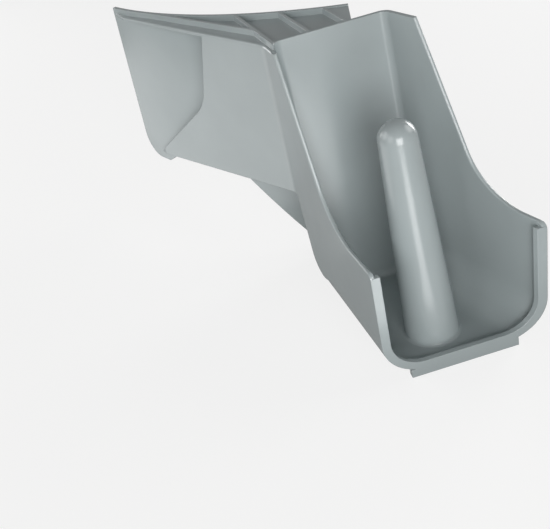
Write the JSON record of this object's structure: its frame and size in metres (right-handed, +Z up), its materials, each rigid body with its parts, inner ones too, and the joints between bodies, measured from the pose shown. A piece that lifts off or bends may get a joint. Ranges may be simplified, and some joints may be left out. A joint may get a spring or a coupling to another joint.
{
  "type": "mower mulching plug",
  "caption": "Grey moulded chute plug for a rotary mower: an open trough with a U lip and an upright grip post, and a swept wing whose arched wall closes the cutting chamber.",
  "frame": {"origin": "middle of the lip's front face, on the underside of the foot strip", "axes": "+X along the lip, +Y from the lip into the machine, +Z up"},
  "size_m": [0.2512, 0.3482, 0.224],
  "materials": {
    "plug_plastic": "satin moulded grey"
  },
  "bodies": {
    "root": {"mulching_plug": "plug_plastic"}
  },
  "joints": []
}
